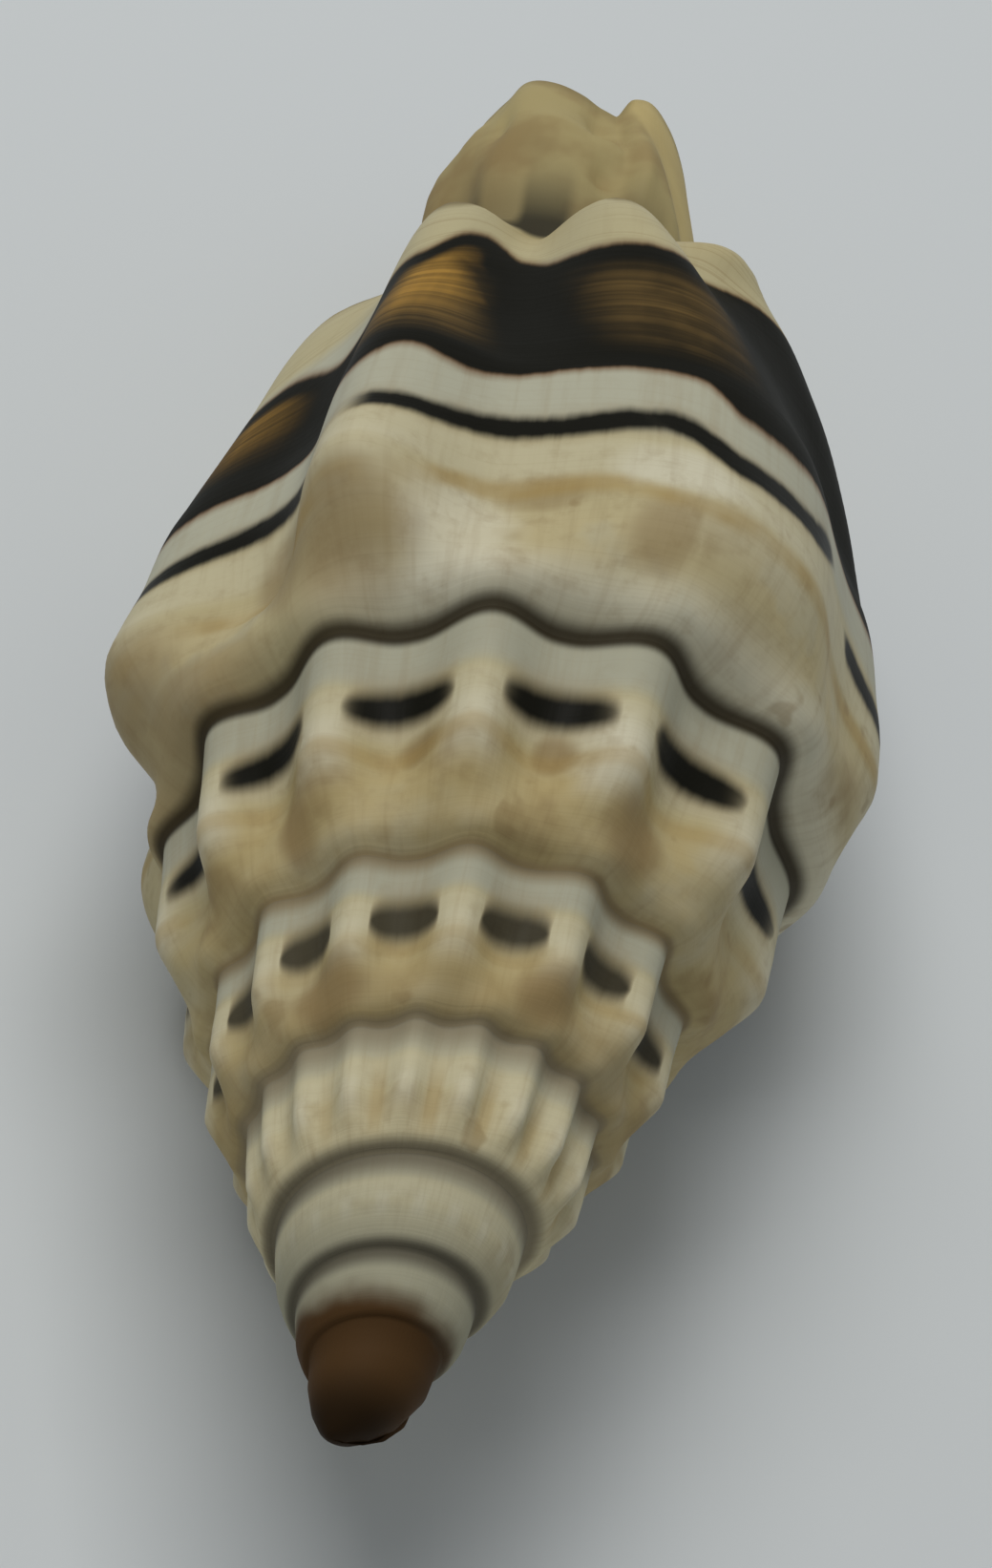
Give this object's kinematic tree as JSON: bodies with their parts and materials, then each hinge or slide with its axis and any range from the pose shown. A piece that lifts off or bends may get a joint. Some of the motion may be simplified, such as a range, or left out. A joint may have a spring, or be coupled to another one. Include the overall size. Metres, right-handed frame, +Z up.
{
  "type": "mitre shell",
  "caption": "Slender ribbed sea shell with a tall stepped spire and a long narrow aperture, cream with dark spiral bands, lying on its aperture.",
  "frame": {"origin": "centre of the shell's bounding box on the table it lies on", "axes": "+Z up from the table, -Y towards the tip of the spire, +Y towards the canal, +X towards the outer lip"},
  "size_m": [0.0176, 0.0442, 0.0148],
  "materials": {
    "shell": "satin"
  },
  "bodies": {
    "root": {"shell": "shell"}
  },
  "joints": []
}
